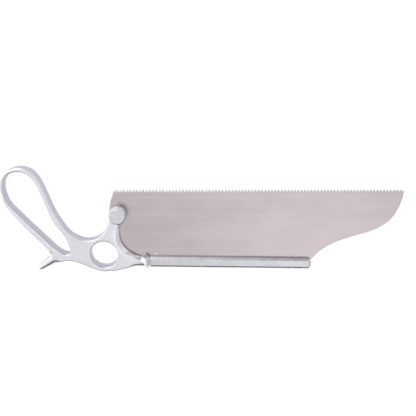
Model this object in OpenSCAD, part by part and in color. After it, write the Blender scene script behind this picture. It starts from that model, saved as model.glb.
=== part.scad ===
// Amputation saw: a cast grip with a looped handle, a finger ring and a forked
// arm, a grooved spine along the back, and a toothed blade that a thumb screw
// clamps in the fork. The saw lies flat: X runs from the grip to the toe of the
// blade, Y from the spine to the teeth, Z up through the thumb screw.
// Every shape is drawn from the crest of the collar, where X and Y are zero.

/* [Blade] */
// Length of the toothed edge
cut_len = 237; // [220:1:250]
// Height of the tooth tips above the collar's axis
blade_rise = 62.9; // [58:0.1:70]
// Thickness of the blade
blade_t = 1; // [0.8:0.05:1.2]
// Distance from one tooth to the next
tooth_pitch = 2.7; // [2.2:0.1:3.5]
// Depth of the teeth
tooth_depth = 2.4; // [1.6:0.1:3]
// How far the first tooth stands behind the collar
heel_back = 25.6; // [24.6:0.1:26.6]
// How far the blade tucks into the slot behind the edge of the cheek
tuck = 3.4; // [2.6:0.1:3.8]
// Width of the hook that drops over the screw
hook_w = 5.3; // [5.3:0.05:5.6]
// Angle to the collar's axis at which the blade draws out
draw_angle = 72; // [70:1:74]
// Diameter of the relief hole above the stop pin
relief_d = 1.4; // [1:0.1:1.8]
// Height of the relief hole above the stop pin, along the draw
relief_rise = 4.3; // [3.8:0.1:5]

/* [Spine] */
// Length of the spine from the crest of the collar to its tip
spine_len = 139; // [130:0.5:146]
// Height of the spine
spine_h = 10; // [9:0.2:11]
// Thickness of the spine
spine_t = 8.8; // [7.8:0.2:9.6]
// Radius of the long edges of the spine
spine_edge_r = 3; // [2:0.1:3.4]
// Radius of the corners at the tip of the spine
tip_r = 3.8; // [2.5:0.1:4.2]
// Slope of the spine away from the teeth, in degrees
spine_slope = 0.7; // [0:0.1:1]
// Depth of the groove that holds the back of the blade
groove_depth = 4.8; // [4:0.1:5]
// Diameter of the tang in the collar
tang_d = 4.6; // [4:0.1:4.8]
// Length of the tang
tang_len = 12; // [9:0.5:14]
// Diameter of the pin through the neck and the tang
tang_pin_d = 2.4; // [1.6:0.1:2.6]
// Diameter of the stop pin across the groove
stop_pin_d = 1.6; // [1.2:0.1:1.8]
// Distance of the stop pin from the crest of the collar
stop_pin_x = 5.8; // [5.6:0.1:6.4]

/* [Casting] */
// Thickness of the casting
handle_t = 10; // [9.6:0.2:12]
// Radius of the rounded edges
edge_r = 1.4; // [0.8:0.1:1.5]
// Width of the strap of the loop where it leaves the saddle
strap_w = 4; // [3.4:0.1:4.6]
// Length of the loop
grip_l = 55.3; // [50:0.1:62]
// Height of the top of the loop above the collar's axis
grip_rise = 81.5; // [76:0.1:88]
// Radius of the saddle between the loop and the arm
saddle_r = 17.4; // [16.4:0.1:18.2]
// Bore of the finger ring
ring_d = 23; // [20:0.1:23.4]
// Wall of the finger ring at the bottom
ring_wall = 4.1; // [3.5:0.1:5]
// How far the centre of the finger ring stands behind the collar
ring_back = 35.6; // [34.8:0.1:36.4]
// Height of the centre of the finger ring above the collar's axis
ring_rise = 7.2; // [6.6:0.1:7.6]
// Radius of the arc that the cheek draws on the blade
cheek_r = 20.6; // [19.8:0.1:21.2]
// Width of the slope down to the edge of the cheek
cheek_slope_w = 5; // [3:0.1:6]
// Depth of the slope at the edge of the cheek
cheek_slope_h = 2.2; // [1:0.1:2.6]
// Diameter of the neck behind the collar
neck_d = 10; // [9.4:0.1:10.4]
// Diameter of the collar
collar_d = 15.2; // [13.6:0.1:16]
// Length of the spur for the little finger
spur_len = 15; // [11:0.5:19]
// Diameter of the spur at its root
spur_root_d = 9; // [8:0.1:9.4]
// Diameter of the tip of the spur
spur_tip_d = 5.4; // [4.4:0.1:6.2]

/* [Thumb screw] */
// Diameter of the knob
knob_d = 14; // [12:0.1:15]
// Height of the knob
knob_h = 4.5; // [4.2:0.1:6]
// Number of grooves round the knob
knurl_count = 24; // [16:2:36]
// Depth of the grooves round the knob
knurl_depth = 0.3; // [0.1:0.05:0.4]
// Diameter of the stud
stud_d = 5; // [4.5:0.1:5]
// Diameter of the washer
washer_d = 14.4; // [12:0.1:15]
// Thickness of the washer
washer_t = 1; // [0.6:0.1:1.6]
// Diameter of the boss at the end of the arm
boss_d = 14.6; // [14:0.1:15.2]
// How far the screw stands behind the collar
screw_back = 22.5; // [22:0.1:22.9]
// Height of the screw above the collar's axis
screw_rise = 42.3; // [41.6:0.1:44]

/* [Hidden] */
$fn = 64;
// Steps on each span of a curve, and on each rounded edge
span_steps = 3;
round_steps = 3;
// Overrun of every cut
over = 1;
// Play round the hidden edge of the blade, beside its faces, and round pins
edge_play = 0.3;
face_play = 0.05;
pin_play = 0.1;
// Width of the slit from the stop pin to the relief hole
slit_w = 0.4;
// Metal left between the tang and the slot
web = 1;

cast_colour = [0.8, 0.8, 0.83];
blade_colour = [0.76, 0.72, 0.7];
screw_colour = [0.82, 0.82, 0.84];

mid_z = handle_t / 2;
screw_c = [-screw_back, screw_rise];
ring_c = [-ring_back, ring_rise];
boss_r = boss_d / 2;
ring_r = ring_d / 2 + ring_wall;
neck_r = neck_d / 2;
collar_r = collar_d / 2;
draw_dir = [cos(draw_angle), sin(draw_angle)];

// Smooth curves: a point at share u of the span from b to c, by knots that
// grow with the root of each distance
function knot(a, b) = sqrt(norm(b - a));
function span_point(a, b, c, d, u) =
    let (
        t1 = knot(a, b),
        t2 = t1 + knot(b, c),
        t3 = t2 + knot(c, d),
        t = t1 + (t2 - t1) * u,
        ab = (a * (t1 - t) + b * t) / t1,
        bc = (b * (t2 - t) + c * (t - t1)) / (t2 - t1),
        cd = (c * (t3 - t) + d * (t - t2)) / (t3 - t2),
        abc = (ab * (t2 - t) + bc * t) / t2,
        bcd = (bc * (t3 - t) + cd * (t - t1)) / (t3 - t1)
    ) (abc * (t2 - t) + bcd * (t - t1)) / (t2 - t1);

function closed_curve(p) = let (n = len(p)) [
    for (i = [0:n - 1]) for (k = [0:span_steps - 1])
        span_point(p[(i + n - 1) % n], p[i], p[(i + 1) % n], p[(i + 2) % n], k / span_steps)
];

function open_curve(p) = let (
    n = len(p),
    q = concat([2 * p[0] - p[1]], p, [2 * p[n - 1] - p[n - 2]])
) concat([
    for (i = [1:n - 1]) for (k = [0:span_steps - 1])
        span_point(q[i - 1], q[i], q[i + 1], q[i + 2], k / span_steps)
], [p[n - 1]]);

// Points on an arc, n steps from one angle to another
function arc(centre, r, from, to, n) = [
    for (i = [0:n]) let (a = from + (to - from) * i / n) centre + r * [cos(a), sin(a)]
];

// A closed outline moved inwards, where inwards is left of its direction
function inset(p, d) = let (n = len(p)) [
    for (i = [0:n - 1]) let (t = p[(i + 1) % n] - p[(i + n - 1) % n])
        p[i] + d * [-t[1], t[0]] / norm(t)
];

// Steps that stand for a rounded edge: how far in and how deep each one goes,
// in shares of the radius
edge_shares = [[0.50, 0.20], [0.18, 0.60]];

// A plate with stepped edges
module round_plate(outline, t, r) {
    deepest = edge_shares[1][1] * r;
    translate([0, 0, deepest]) linear_extrude(t - 2 * deepest) polygon(outline);
    for (k = [0, 1]) {
        z = k == 0 ? 0 : edge_shares[k - 1][1] * r;
        translate([0, 0, z]) linear_extrude(t - 2 * z)
            polygon(inset(outline, edge_shares[k][0] * r));
    }
}

// The cut of a hole through a plate, with the same stepped edges
module round_hole(outline, t, r) {
    translate([0, 0, -over]) linear_extrude(t + 2 * over) polygon(outline);
    for (s = edge_shares) {
        depth = s[1] * r;
        for (z = [-over, t - depth]) translate([0, 0, z])
            linear_extrude(depth + over) polygon(inset(outline, -s[0] * r));
    }
}

// Line of the strap from the saddle round to the spur: shares of the length
// and the height of the loop, and of the width of the strap
throat_back = 62;
grip_line_shares = [
    [-0.070, 0.215, 1.50],
    [0.058, 0.297, 1.20],
    [0.195, 0.432, 1.20],
    [0.264, 0.526, 1.12],
    [0.313, 0.619, 1.03],
    [0.358, 0.707, 0.98],
    [0.409, 0.802, 0.97],
    [0.473, 0.892, 0.99],
    [0.558, 0.953, 1.00],
    [0.682, 0.982, 0.93],
    [0.778, 0.975, 0.83],
    [0.861, 0.951, 0.74],
    [0.922, 0.910, 0.70],
    [0.960, 0.859, 0.69],
    [0.975, 0.804, 0.69],
    [0.967, 0.736, 0.70],
    [0.929, 0.640, 0.80],
    [0.864, 0.571, 0.92],
    [0.779, 0.502, 1.05],
    [0.676, 0.418, 1.16],
    [0.552, 0.326, 1.24],
    [0.448, 0.250, 1.26],
    [0.371, 0.190, 1.32],
    [0.325, 0.150, 1.44]
];
grip_line = [for (s = grip_line_shares)
    [-throat_back - s[0] * grip_l, s[1] * grip_rise, s[2] * strap_w]];

// One side of the strap: 1 is outside the loop and -1 is inside it
function grip_side(side) = [
    for (i = [1:len(grip_line) - 2]) let (
        p = grip_line[i],
        t = grip_line[i + 1] - grip_line[i - 1]
    ) [p[0], p[1]] + side * p[2] / 2 * [t[1], -t[0]] / norm([t[0], t[1]])
];

// The opening of the loop, closed beside the body by its throat
throat_shares = [[0.246, 0.150], [0.150, 0.102], [0.075, 0.090], [0.028, 0.118], [0.050, 0.190]];
opening = closed_curve(concat(grip_side(-1), [for (s = throat_shares)
    [-throat_back - s[0] * grip_l, s[1] * grip_rise]]));

// The spur is a cone that runs down and back from its root in the body
spur_angle = 214.6;
spur_root_shares = [0.284, 0.035];
spur_root = [-throat_back - spur_root_shares[0] * grip_l, spur_root_shares[1] * grip_rise];
spur_tip = spur_root + spur_len * [cos(spur_angle), sin(spur_angle)];

// The crotch between the strap and the spur, in shares of the loop
crotch_shares = [[0.362, 0.129], [0.347, 0.091], [0.353, 0.042], [0.342, -0.007]];

// The underside of the body, in shares of the outer radius of the ring
belly_shares = [[-2.686, -0.545], [-2.397, -0.436], [-1.981, -0.370], [-1.590, -0.430],
    [-1.154, -0.600], [-0.718, -0.795]];
bilge_shares = [[0.635, -0.950], [1.090, -0.830]];
function by_ring(shares) = [for (s = shares) ring_c + ring_r * s];

// The saddle and the cheek are arcs; the neck ends inside the collar
saddle_back = 49;
saddle_rise = 37.1;
saddle_c = [-saddle_back, saddle_rise];
cheek_back = 1.9;
cheek_c = [-cheek_back, neck_r + cheek_r];
neck_len = 12;
// The plate narrows inside the round neck: shares of the neck's length and radius
neck_shares = [[-1.17, -0.98], [-0.83, -0.76], [-0.50, -0.66], [-0.43, -0.30], [-0.43, 0.40],
    [-0.58, 1.00]];

frame_outline = closed_curve(concat(
    by_ring(belly_shares),
    arc(ring_c, ring_r, 250, 284, 2),
    by_ring(bilge_shares),
    [for (s = neck_shares) [s[0] * neck_len, s[1] * neck_r]],
    arc(cheek_c, cheek_r, 246, 158, 6),
    arc(screw_c, boss_r, -20, 196, 7),
    arc(saddle_c, saddle_r, -20, -118, 5),
    grip_side(1),
    [for (s = crotch_shares) [-throat_back - s[0] * grip_l, s[1] * grip_rise]]
));

// Slot of the fork: the hidden edge of the blade with play all round
slot_w = blade_t + 2 * face_play;
// How far the top of the hidden ear lies below the screw
ear_drop = 8.9;
ear_rise = screw_rise - ear_drop;
neck_cut = tang_d / 2 + web;
tuck_r = cheek_r + tuck;
tongue_x = 2.6;
collar_face = 3.4;
fork_reach = saddle_back;
back_rise = spine_h / 2 - groove_depth;
// Angle on a circle round the cheek's centre where it passes a height
function cheek_angle(r, y) = 180 + asin((cheek_c[1] - y) / r);

fork_r = tuck_r + edge_play;
fork_outline = concat(
    [[-fork_reach, ear_rise - edge_play]],
    arc(cheek_c, fork_r, cheek_angle(fork_r, ear_rise - edge_play),
        cheek_angle(fork_r, neck_cut - edge_play), 14),
    [[tongue_x - edge_play, neck_cut - edge_play], [tongue_x - edge_play, -spine_h]],
    [[spine_len, -spine_h], [spine_len, 2 * blade_rise], [-fork_reach, 2 * blade_rise]]
);

// The neck flares to the crest of the collar and drops to the spine
flare_len = 4.6;
flare_shares = [[-1.00, 0.00], [-0.62, 0.10], [-0.28, 0.42], [-0.07, 0.92]];
turned_profile = concat(
    [[-neck_len - neck_r, 0], [-neck_len - neck_r, neck_r - edge_r], [-neck_len, neck_r]],
    open_curve([for (s = flare_shares)
        [s[0] * flare_len, neck_r + s[1] * (collar_r - neck_r)]]),
    [[0, collar_r], [collar_face, neck_r], [collar_face, 0]]
);

// Puts a shape on the axis of the collar, pointing along X
module on_axis() {
    translate([0, 0, mid_z]) rotate([0, 90, 0]) children();
}

// Follows the slope of the spine
module on_slope() {
    rotate([0, 0, -spine_slope]) children();
}

module turned_neck() {
    intersection() {
        on_axis() rotate_extrude() polygon([for (p = turned_profile) [p[1], p[0]]]);
        translate([-2 * neck_len, -collar_d, 0]) cube([4 * neck_len, 2 * collar_d, mid_z + collar_d]);
    }
}

// The spur is turned: a cone with a round tip
module spur() {
    tip = spur_tip_d / 2;
    translate([spur_root[0], spur_root[1], mid_z]) rotate([0, 0, spur_angle]) rotate([0, 90, 0])
        rotate_extrude() polygon(concat(
            [[0, 0], [spur_root_d / 2, 0]],
            [for (k = [0:round_steps]) let (a = 90 * k / round_steps)
                [tip * cos(a), spur_len + tip * sin(a)]]
        ));
}

// The ring's bore, with its edges rounded
module ring_bore() {
    r = ring_d / 2;
    lip = [for (k = [0:round_steps]) let (a = 90 * k / round_steps)
        edge_r * [1 - sin(a), 1 - cos(a)]];
    translate([ring_c[0], ring_c[1], 0]) rotate_extrude($fn = 96) polygon(concat(
        [[0, -over], [r + edge_r, -over]],
        [for (l = lip) [r + l[0], l[1]]],
        [for (k = [round_steps:-1:0]) [r + lip[k][0], handle_t - lip[k][1]]],
        [[r + edge_r, handle_t + over], [0, handle_t + over]]
    ));
}

// The face slopes down to the edge of the cheek, on both sides of the casting.
// The cutting cone stands off the centre of the cheek, so it fades out upwards.
module cheek_slope() {
    shift = 2.5;
    grade = cheek_slope_h / cheek_slope_w;
    base_r = cheek_r - shift * sqrt(2) - over / grade;
    depth = cheek_slope_h + 2 * over;
    translate([cheek_c[0] - shift, cheek_c[1] - shift, handle_t + over - depth])
        cylinder(h = depth, r1 = base_r, r2 = base_r + depth / grade, $fn = 128);
}

// Cuts that let the blade in: the fork, and the deeper tongue slot in the collar
module fork_slot() {
    translate([0, 0, mid_z - slot_w / 2]) linear_extrude(slot_w) difference() {
        polygon(fork_outline);
        rotate(-spine_slope) translate([-fork_reach, -2 * spine_h])
            square([spine_len + 2 * fork_reach, 2 * spine_h + back_rise]);
    }
}

module tang_socket() {
    on_slope() on_axis() translate([0, 0, -tang_len + collar_face])
        cylinder(h = tang_len + over, d = tang_d);
}

module screw_bores() {
    translate([screw_c[0], screw_c[1], -over])
        cylinder(h = mid_z + over, d = stud_d + pin_play);
    translate([screw_c[0], screw_c[1], mid_z])
        cylinder(h = mid_z + over, d = stud_d + 4 * pin_play);
}

module tang_pin_shape(d) {
    on_slope() translate([collar_face - 0.7 * tang_len, 0, mid_z])
        cylinder(h = 2 * neck_d, d = d, center = true);
}

// Moves the origin under the middle of the saw's box
left = min([for (p = frame_outline) p[0]]);
right = cut_len - heel_back;
low = min(min([for (p = frame_outline) p[1]]), spur_tip[1] - spur_tip_d / 2);
high = max([for (p = frame_outline) p[1]]);
module place() {
    translate([-(left + right) / 2, -(low + high) / 2, 0]) children();
}

module handle_frame() {
    color(cast_colour) place() difference() {
        union() {
            difference() {
                round_plate(frame_outline, handle_t, edge_r);
                round_hole(opening, handle_t, edge_r);
                cheek_slope();
                translate([0, 0, handle_t]) mirror([0, 0, 1]) cheek_slope();
            }
            turned_neck();
            spur();
        }
        ring_bore();
        fork_slot();
        tang_socket();
        screw_bores();
        tang_pin_shape(tang_pin_d);
    }
}

// Section of the spine, across its length
module spine_section() {
    x = spine_t / 2 - spine_edge_r;
    y = spine_h / 2 - spine_edge_r;
    square([spine_t, 2 * y], center = true);
    square([2 * x, spine_h], center = true);
    for (sx = [-1, 1]) for (sy = [-1, 1])
        translate([sx * x, sy * y]) circle(r = spine_edge_r);
}

// Plan of the spine, with a rounded tip
module spine_plan() {
    translate([collar_face, -spine_h])
        square([spine_len - tip_r - collar_face, 2 * spine_h]);
    translate([collar_face, -spine_h / 2 + tip_r])
        square([spine_len - collar_face, spine_h - 2 * tip_r]);
    for (s = [-1, 1])
        translate([spine_len - tip_r, s * (spine_h / 2 - tip_r)]) circle(r = tip_r);
}

module spine_body() {
    on_slope() intersection() {
        on_axis() linear_extrude(spine_len) spine_section();
        linear_extrude(handle_t) spine_plan();
    }
}

module spine_rib() {
    color(cast_colour) place() difference() {
        union() {
            spine_body();
            on_slope() on_axis() translate([0, 0, collar_face - tang_len])
                cylinder(h = tang_len + over, d = tang_d);
        }
        on_slope() translate([tongue_x - edge_play, back_rise - edge_play, mid_z - slot_w / 2])
            cube([spine_len, spine_h, slot_w]);
        tang_pin_shape(tang_pin_d);
        stop_pin_shape(stop_pin_d);
    }
}

// The tang pin is filed flush with the neck
module tang_pin() {
    color(cast_colour) place() intersection() {
        tang_pin_shape(tang_pin_d);
        on_axis() translate([0, 0, -neck_len]) cylinder(h = 2 * neck_len, d = neck_d);
        translate([-neck_len, -neck_d, 0]) cube([2 * neck_len, 2 * neck_d, handle_t]);
    }
}

// The stop pin crosses the groove, flush with both sides of the spine
stop_pin_rise = 2.5;
stop_pin_c = [stop_pin_x, stop_pin_rise];
module stop_pin_shape(d) {
    translate([stop_pin_c[0], stop_pin_c[1], mid_z])
        cylinder(h = spine_t, d = d, center = true, $fn = 32);
}

module blade_stop_pin() {
    color(cast_colour) place() intersection() {
        stop_pin_shape(stop_pin_d);
        spine_body();
    }
}

// Toe of the blade, from the tip of the spine up to the last tooth: shares of
// its length and of the height of the teeth
toe_shares = [
    [0.000, 0.046], [0.067, 0.130], [0.168, 0.213], [0.309, 0.2925], [0.476, 0.359],
    [0.644, 0.418], [0.777, 0.493], [0.881, 0.591], [0.954, 0.739], [0.993, 0.890],
    [1.000, 1.000]
];
// Heel of the blade, from the first tooth down to the ear: places behind the
// first tooth and heights, in shares of the screw's height
heel_shares = [[0.033, 1.345], [0.066, 1.263], [0.090, 1.163], [0.103, 1.010], [0.103, 0.890]];
// How far the toe's corner stands past the tip of the spine
toe_step = 0.9;
toe_corner = spine_len + toe_step;
toe_len = cut_len - heel_back - toe_corner;
toe_chamfer = 3.4;
tooth_count = round(cut_len / tooth_pitch);
pitch = cut_len / tooth_count;
function back_y(x) = back_rise - x * tan(spine_slope);

blade_outline = concat(
    [[tongue_x, back_y(tongue_x)]],
    [[toe_corner - toe_chamfer, back_y(toe_corner - toe_chamfer)]],
    open_curve([for (s = toe_shares) [toe_corner + s[0] * toe_len, s[1] * blade_rise]]),
    [for (i = [tooth_count:-1:1]) each [
        [(i - 0.5) * pitch - heel_back, blade_rise - tooth_depth],
        [(i - 1) * pitch - heel_back, blade_rise]
    ]],
    [for (s = heel_shares) [-heel_back - s[0] * screw_rise, s[1] * screw_rise]],
    [[-heel_back - 0.09 * screw_rise, ear_rise]],
    arc(cheek_c, tuck_r, cheek_angle(tuck_r, ear_rise), cheek_angle(tuck_r, neck_cut), 14),
    [[tongue_x, neck_cut]]
);

// A slot that opens against the direction of the draw, round at its head
module draw_slot(centre, w, run) {
    translate(centre) rotate(draw_angle - 90) {
        circle(d = w);
        translate([-w / 2, -run]) square([w, run]);
    }
}

module blade() {
    color(blade_colour) place() translate([0, 0, mid_z - blade_t / 2]) linear_extrude(blade_t)
        difference() {
            polygon(blade_outline);
            draw_slot(screw_c, hook_w, screw_rise);
            draw_slot(stop_pin_c, stop_pin_d + 2 * pin_play, spine_h);
            translate(stop_pin_c) rotate(draw_angle - 90) {
                translate([-slit_w / 2, 0]) square([slit_w, relief_rise]);
                translate([0, relief_rise]) circle(d = relief_d, $fn = 32);
            }
        }
}

// The thumb screw: washer on the boss, knob on the washer, stud through all
washer_z = handle_t;
knob_z = washer_z + washer_t;
stud_recess = 0.4;
stud_seat = 3.4;
foot_h = 0.5;
undercut = 1;
neck_low = foot_h + 1.2 * undercut;
neck_high = neck_low + 0.4;
disc_low = neck_high + 0.4;
disc_side = disc_low + 0.7;

module at_screw(z) {
    translate([screw_c[0], screw_c[1], z]) children();
}

module thumb_washer() {
    chamfer = washer_t / 4;
    r = washer_d / 2;
    bore = stud_d / 2 + pin_play;
    color(screw_colour) place() at_screw(washer_z) rotate_extrude() polygon([
        [bore, 0], [r - chamfer, 0], [r, chamfer], [r, washer_t - chamfer],
        [r - chamfer, washer_t], [bore, washer_t]
    ]);
}

// The knob is a tapered disc with grooves, over an undercut neck and a flared foot
module thumb_knob() {
    r = knob_d / 2;
    color(screw_colour) place() at_screw(knob_z) difference() {
        rotate_extrude() polygon([
            [0, 0], [r, 0], [r, foot_h], [r - undercut, neck_low], [r - undercut, neck_high],
            [r, disc_low], [r, disc_side], [r - undercut, knob_h], [0, knob_h]
        ]);
        translate([0, 0, -over]) cylinder(h = stud_seat + over, d = stud_d);
        for (i = [0:knurl_count - 1]) rotate(360 * i / knurl_count)
            translate([r + knurl_depth, 0, neck_high])
                cylinder(h = knob_h, r = 2 * knurl_depth, $fn = 4);
    }
}

module thumb_stud() {
    r = stud_d / 2;
    tip = 0.16 * stud_d;
    top = knob_z + stud_seat;
    color(screw_colour) place() at_screw(0) rotate_extrude() polygon([
        [0, stud_recess], [r - tip, stud_recess], [r, stud_recess + tip], [r, top], [0, top]
    ]);
}

handle_frame();
spine_rib();
tang_pin();
blade();
blade_stop_pin();
thumb_knob();
thumb_stud();
thumb_washer();
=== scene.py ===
"""Amputation saw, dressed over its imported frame.

Sizes are in millimetres from the crest of the collar, as in the drawing: X runs to the toe of
the blade, Y to the teeth and Z out of the thumb screw. They turn into metres of the frame in
one place, the Bench.
"""

import logging
import math
from dataclasses import dataclass
from enum import Enum
from typing import Callable, Optional, Sequence

import bmesh
import bpy
import numpy as np
from mathutils import Matrix, Vector
from mathutils.geometry import delaunay_2d_cdt


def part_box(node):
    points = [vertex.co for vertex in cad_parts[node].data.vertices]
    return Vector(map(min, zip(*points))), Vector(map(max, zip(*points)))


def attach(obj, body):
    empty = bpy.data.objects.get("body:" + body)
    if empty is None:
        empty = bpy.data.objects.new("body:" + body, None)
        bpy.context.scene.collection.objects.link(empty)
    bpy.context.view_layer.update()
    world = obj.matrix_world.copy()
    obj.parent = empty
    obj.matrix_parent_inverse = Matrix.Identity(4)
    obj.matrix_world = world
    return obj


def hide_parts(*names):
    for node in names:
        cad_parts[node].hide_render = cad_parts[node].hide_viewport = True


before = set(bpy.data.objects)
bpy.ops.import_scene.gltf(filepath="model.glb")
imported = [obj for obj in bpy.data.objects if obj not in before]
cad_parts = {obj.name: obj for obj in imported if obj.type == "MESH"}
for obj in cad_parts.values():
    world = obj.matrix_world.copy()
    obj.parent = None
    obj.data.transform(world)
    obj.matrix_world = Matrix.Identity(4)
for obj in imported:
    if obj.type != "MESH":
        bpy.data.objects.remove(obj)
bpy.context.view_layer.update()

log = logging.getLogger("saw")

HeightMap = Callable[[np.ndarray, np.ndarray, np.ndarray], np.ndarray]
Turn = Callable[[float, float, float], float]
Row = Sequence[float]
Piece = bpy.types.Object

MM = 1000.0  # millimetres in a metre
TINY = 1e-6  # the least length in millimetres that isn't taken for zero
MERGE = 2e-8  # points that are nearer than this, in metres, are one

# Places and sizes of the drawing that several pieces keep to.
SCREW_AT = (-22.5, 42.3)
CHEEK_AT = (-1.9, 25.6)
STOP_AT = (5.8, 2.5)
MID_Z = 5.0
NECK_R = 5.0
SLOT_W = 1.1
SLOPE = 0.7  # degrees by which the bar leans away from the teeth


class Body(Enum):
    """The frame's moving bodies."""

    CASTING = "casting"
    BLADE = "blade_body"
    WASHER = "washer"
    SCREW = "screw"


class Slot(Enum):
    """The record's material slots."""

    CASTING = "casting"
    SPINE = "spine"
    BLADE = "blade"
    SCREW = "screw"


def knots_between(a: np.ndarray, b: np.ndarray) -> float:
    """Returns the knot step between two points: the root of their distance."""
    return max(float(np.hypot(*(b - a))) ** 0.5, TINY)


def blend(p: np.ndarray, q: np.ndarray, t: float, start: float, end: float) -> np.ndarray:
    """Returns the place between two points at a knot between theirs."""
    return (p * (end - t) + q * (t - start)) / (end - start)


def smooth_curve(points: Sequence[Row], closed: bool, steps: int = 12) -> np.ndarray:
    """Runs a centripetal curve through points.

    Args:
        points: the places that the curve passes.
        closed: whether it returns to its start.
        steps: how many chords stand for each span.

    Returns:
        The curve as an array of points, without a repeated end where it is closed.
    """
    p = np.asarray(points, float)
    if closed:
        q = np.vstack([p[-1], p, p[0], p[1]])
    else:
        q = np.vstack([2 * p[0] - p[1], p, 2 * p[-1] - p[-2]])
    out = []
    for i in range(1, len(q) - 2):
        a, b, c, d = q[i - 1 : i + 3]
        t1 = knots_between(a, b)
        t2 = t1 + knots_between(b, c)
        t3 = t2 + knots_between(c, d)
        for t in np.linspace(t1, t2, steps, endpoint=False):
            ab, bc, cd = blend(a, b, t, 0, t1), blend(b, c, t, t1, t2), blend(c, d, t, t2, t3)
            out.append(blend(blend(ab, bc, t, 0, t2), blend(bc, cd, t, t1, t3), t, t1, t2))
    if not closed:
        out.append(p[-1])
    return np.array(out)


def even_steps(line: np.ndarray, gap: float, closed: bool) -> np.ndarray:
    """Spaces the points of a line evenly.

    Args:
        line: the line's points.
        gap: the wanted distance between points.
        closed: whether the line returns to its start.

    Returns:
        The new points; an open line keeps both its ends.
    """
    p = np.vstack([line, line[:1]]) if closed else line
    run = np.concatenate([[0.0], np.cumsum(np.hypot(*np.diff(p, axis=0).T))])
    count = max(int(round(run[-1] / gap)), 3)
    at = np.linspace(0, run[-1], count + 1)
    if closed:
        at = at[:-1]
    return np.stack([np.interp(at, run, p[:, 0]), np.interp(at, run, p[:, 1])], 1)


def arc_points(centre: Row, r: float, start: float, end: float, steps: int) -> list:
    """Returns points on an arc from one angle to another, in degrees."""
    angles = np.radians(np.linspace(start, end, steps + 1))
    return [[centre[0] + r * math.cos(a), centre[1] + r * math.sin(a)] for a in angles]


def lattice(xs: Row, ys: Row) -> np.ndarray:
    """Returns a grid's points; each axis is a start, an end and a step."""
    return np.array([[x, y] for x in np.arange(*xs) for y in np.arange(*ys)])


def left_arc(centre: Row, r: float, start: float, end: float) -> list:
    """Returns points on a circle's left side, from one height to another."""
    a, b = (180 + math.degrees(math.asin((centre[1] - y) / r)) for y in (start, end))
    return arc_points(centre, r, a, b, 24)


def heading(angle: float) -> np.ndarray:
    """Returns the direction of an angle in degrees."""
    a = math.radians(angle)
    return np.array([math.cos(a), math.sin(a)])


def across(d: np.ndarray) -> np.ndarray:
    """Returns the direction to the right of another."""
    return np.array([d[1], -d[0]])


def inward(loop: np.ndarray) -> np.ndarray:
    """Returns unit vectors to the left of a closed loop's direction, one for each point."""
    t = np.roll(loop, -1, 0) - np.roll(loop, 1, 0)
    n = np.stack([-t[:, 1], t[:, 0]], 1)
    return n / np.maximum(np.hypot(*n.T), TINY)[:, None]


def holds(loop: np.ndarray, p: np.ndarray) -> np.ndarray:
    """Tells which points lie inside a closed loop.

    Args:
        loop: the closed loop.
        p: the points to test.

    Returns:
        True for each point inside.
    """
    res = np.zeros(len(p), bool)
    for a, b in zip(loop, np.roll(loop, -1, 0)):
        if a[1] == b[1]:
            continue
        crosses = (a[1] > p[:, 1]) != (b[1] > p[:, 1])
        res ^= crosses & (p[:, 0] < a[0] + (p[:, 1] - a[1]) / (b[1] - a[1]) * (b[0] - a[0]))
    return res


def distance(line: np.ndarray, p: np.ndarray, closed: bool = True) -> np.ndarray:
    """Returns each point's distance to a line.

    Args:
        line: the line's points.
        p: the points to measure.
        closed: whether the line returns to its start.

    Returns:
        One distance for each point.
    """
    best = np.full(len(p), np.inf)
    ends = np.roll(line, -1, 0) if closed else line[1:]
    for a, b in zip(line, ends):
        ab = b - a
        u = np.clip(((p - a) @ ab) / max(ab @ ab, TINY**2), 0, 1)
        best = np.minimum(best, np.hypot(*(p - a - u[:, None] * ab).T))
    return best


def divide(line: np.ndarray, gap: float) -> np.ndarray:
    """Adds points along a line's long chords, and keeps its corners.

    Args:
        line: the line's points.
        gap: the longest chord.

    Returns:
        The line with the new points.
    """
    out = []
    for a, b in zip(line[:-1], line[1:]):
        n = max(int(math.ceil(float(np.hypot(*(b - a))) / gap)), 1)
        out += [a + (b - a) * k / n for k in range(n)]
    out.append(line[-1])
    return np.array(out)


def ramp(low: float, high: float, x: np.ndarray) -> np.ndarray:
    """Rises smoothly from 0 at low to 1 at high."""
    t = np.clip((x - low) / (high - low), 0, 1)
    return t * t * (3 - 2 * t)


def soft_min(a: np.ndarray, b: np.ndarray, k: float) -> np.ndarray:
    """Takes the lower of two heights, rounded over a width of k."""
    h = np.clip(0.5 + 0.5 * (b - a) / k, 0, 1)
    return b * (1 - h) + a * h - k * h * (1 - h)


def rounded(d: np.ndarray, r: float) -> np.ndarray:
    """Returns how far a rounded edge drops below its face at a distance d from the rim."""
    return r - np.sqrt(np.maximum(r * r - (r - np.minimum(d, r)) ** 2, 0))


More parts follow.
